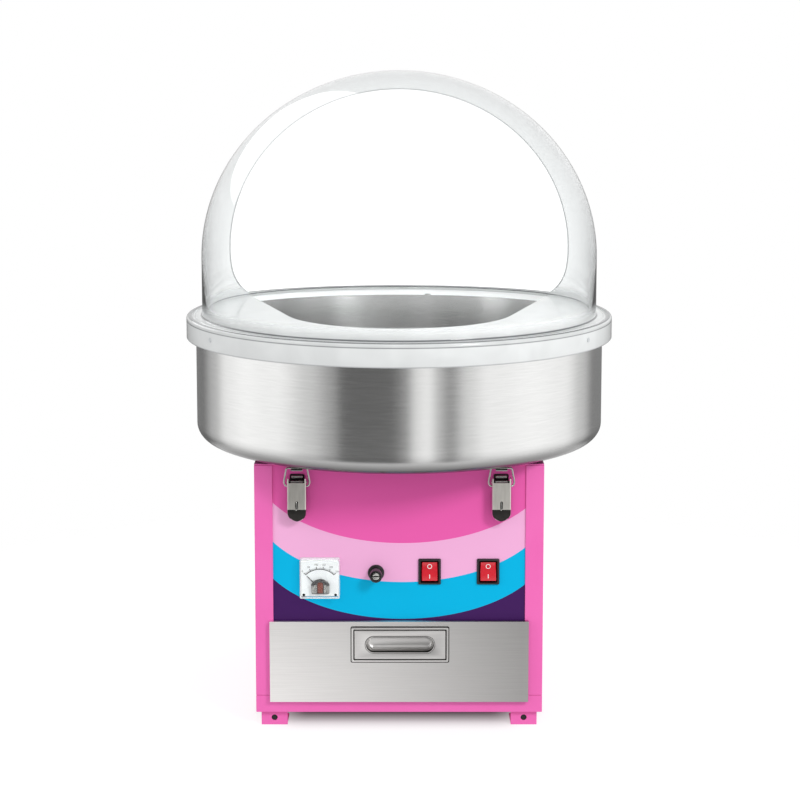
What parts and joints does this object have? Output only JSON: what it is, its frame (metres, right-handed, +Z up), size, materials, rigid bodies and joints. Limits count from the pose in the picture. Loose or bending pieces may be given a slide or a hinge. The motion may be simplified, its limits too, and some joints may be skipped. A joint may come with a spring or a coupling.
{
  "type": "cotton candy machine",
  "caption": "Tabletop cotton candy machine: sheet metal cabinet with drawer, round steel bowl held by latches, slotted spinning head and clear bubble open at the rear.",
  "frame": {"origin": "on the floor, under the middle of the bowl and of the cabinet", "axes": "+Z up along the spinning head's axis, -Y towards the front with the control panel, +X to the right seen from the front"},
  "size_m": [0.544, 0.544, 0.7985],
  "materials": {
    "pink_enamel": "satin pink enamel",
    "printed_panel": "glossy print of sagging pink, blue and purple stripes",
    "brushed_steel": "brushed",
    "plain_steel": "plain",
    "cast_aluminium": "turned and cast",
    "clear_plastic": "clear, polished",
    "white_plastic": "satin white",
    "black_plastic": "satin black",
    "red_plastic": "glossy red",
    "ceramic": "unglazed ceramic",
    "brass": "plain",
    "rubber": "matte"
  },
  "bodies": {
    "machine": {"left_side_panel": "pink_enamel", "right_side_panel": "pink_enamel", "base_tray": "pink_enamel", "top_plate": "pink_enamel", "rear_panel": "pink_enamel", "front_left_foot": "pink_enamel", "front_right_foot": "pink_enamel", "rear_left_foot": "pink_enamel", "rear_right_foot": "pink_enamel", "control_panel": "printed_panel", "divider_shelf": "plain_steel", "left_drawer_rail": "plain_steel", "right_drawer_rail": "plain_steel", "bowl": "brushed_steel", "bowl_collar": "plain_steel", "bowl_ring": "rubber", "left_bowl_hook": "plain_steel", "right_bowl_hook": "plain_steel", "brush_block": "black_plastic", "motor": "cast_aluminium", "motor_mount": "plain_steel", "shaft_bearing": "plain_steel", "gauge_case": "white_plastic", "gauge_dial": "white_plastic", "gauge_cover": "clear_plastic", "left_gauge_screw": "black_plastic", "right_gauge_screw": "black_plastic", "fuse_holder": "black_plastic", "heat_switch_body": "black_plastic", "power_switch_body": "black_plastic", "left_latch_base": "plain_steel", "right_latch_base": "plain_steel", "left_latch_pin": "plain_steel", "right_latch_pin": "plain_steel", "power_inlet": "black_plastic"},
    "spinner": {"head_pan": "cast_aluminium", "head_band": "brushed_steel", "head_cap": "cast_aluminium", "heater_coil": "ceramic", "head_nut": "brass", "spinner_shaft": "plain_steel", "slip_ring_drum": "black_plastic", "lower_slip_ring": "brass", "upper_slip_ring": "brass"},
    "drawer": {"drawer_front": "brushed_steel", "drawer_tray": "plain_steel", "drawer_pull": "plain_steel"},
    "bubble": {"bubble": "clear_plastic"},
    "needle": {"gauge_needle": "red_plastic"},
    "fuse_cap": {"fuse_cap": "black_plastic", "fuse_cartridge": "brass"},
    "heat_rocker": {"heat_rocker": "red_plastic"},
    "power_rocker": {"power_rocker": "red_plastic"},
    "left_lever": {"left_latch_lever": "brushed_steel"},
    "right_lever": {"right_latch_lever": "brushed_steel"},
    "left_bail": {"left_latch_bail": "plain_steel"},
    "right_bail": {"right_latch_bail": "plain_steel"}
  },
  "joints": [
    {"name": "spinner_spin", "type": "hinge", "parent": "machine", "child": "spinner", "pos_m": [0, 0, 0.35], "axis": [0, 0, 1], "continuous": true},
    {"name": "drawer_slide", "type": "slide", "parent": "machine", "child": "drawer", "axis": [0, -1, 0], "range_m": [0, 0.22]},
    {"name": "bubble_lift", "type": "slide", "parent": "machine", "child": "bubble", "axis": [0, 0, 1], "range_m": [0, 0.2]},
    {"name": "needle_turn", "type": "hinge", "parent": "machine", "child": "needle", "pos_m": [-0.096, -0.174, 0.175], "axis": [0, 1, 0], "range_deg": [0, 90], "stiffness_Nm_per_rad": 0.0002},
    {"name": "fuse_cap_pull", "type": "slide", "parent": "machine", "child": "fuse_cap", "axis": [0, -1, 0], "range_m": [0, 0.03]},
    {"name": "heat_rocker_tip", "type": "hinge", "parent": "machine", "child": "heat_rocker", "pos_m": [0.037, -0.1657, 0.1945], "axis": [1, 0, 0], "range_deg": [0, 18]},
    {"name": "power_rocker_tip", "type": "hinge", "parent": "machine", "child": "power_rocker", "pos_m": [0.108, -0.1657, 0.1945], "axis": [1, 0, 0], "range_deg": [0, 18]},
    {"name": "left_lever_swing", "type": "hinge", "parent": "machine", "child": "left_lever", "pos_m": [-0.123, -0.1775, 0.3075], "axis": [-1, 0, 0], "range_deg": [0, 100]},
    {"name": "right_lever_swing", "type": "hinge", "parent": "machine", "child": "right_lever", "pos_m": [0.123, -0.1775, 0.3075], "axis": [-1, 0, 0], "range_deg": [0, 100]},
    {"name": "left_bail_swing", "type": "hinge", "parent": "left_lever", "child": "left_bail", "pos_m": [-0.123, -0.1775, 0.3025], "axis": [-1, 0, 0], "range_deg": [-115, 0]},
    {"name": "right_bail_swing", "type": "hinge", "parent": "right_lever", "child": "right_bail", "pos_m": [0.123, -0.1775, 0.3025], "axis": [-1, 0, 0], "range_deg": [-115, 0]}
  ],
  "couplings": [
    {"joint": "left_bail_swing", "follows": "left_lever_swing", "ratio": -1.15},
    {"joint": "right_bail_swing", "follows": "right_lever_swing", "ratio": -1.15}
  ]
}
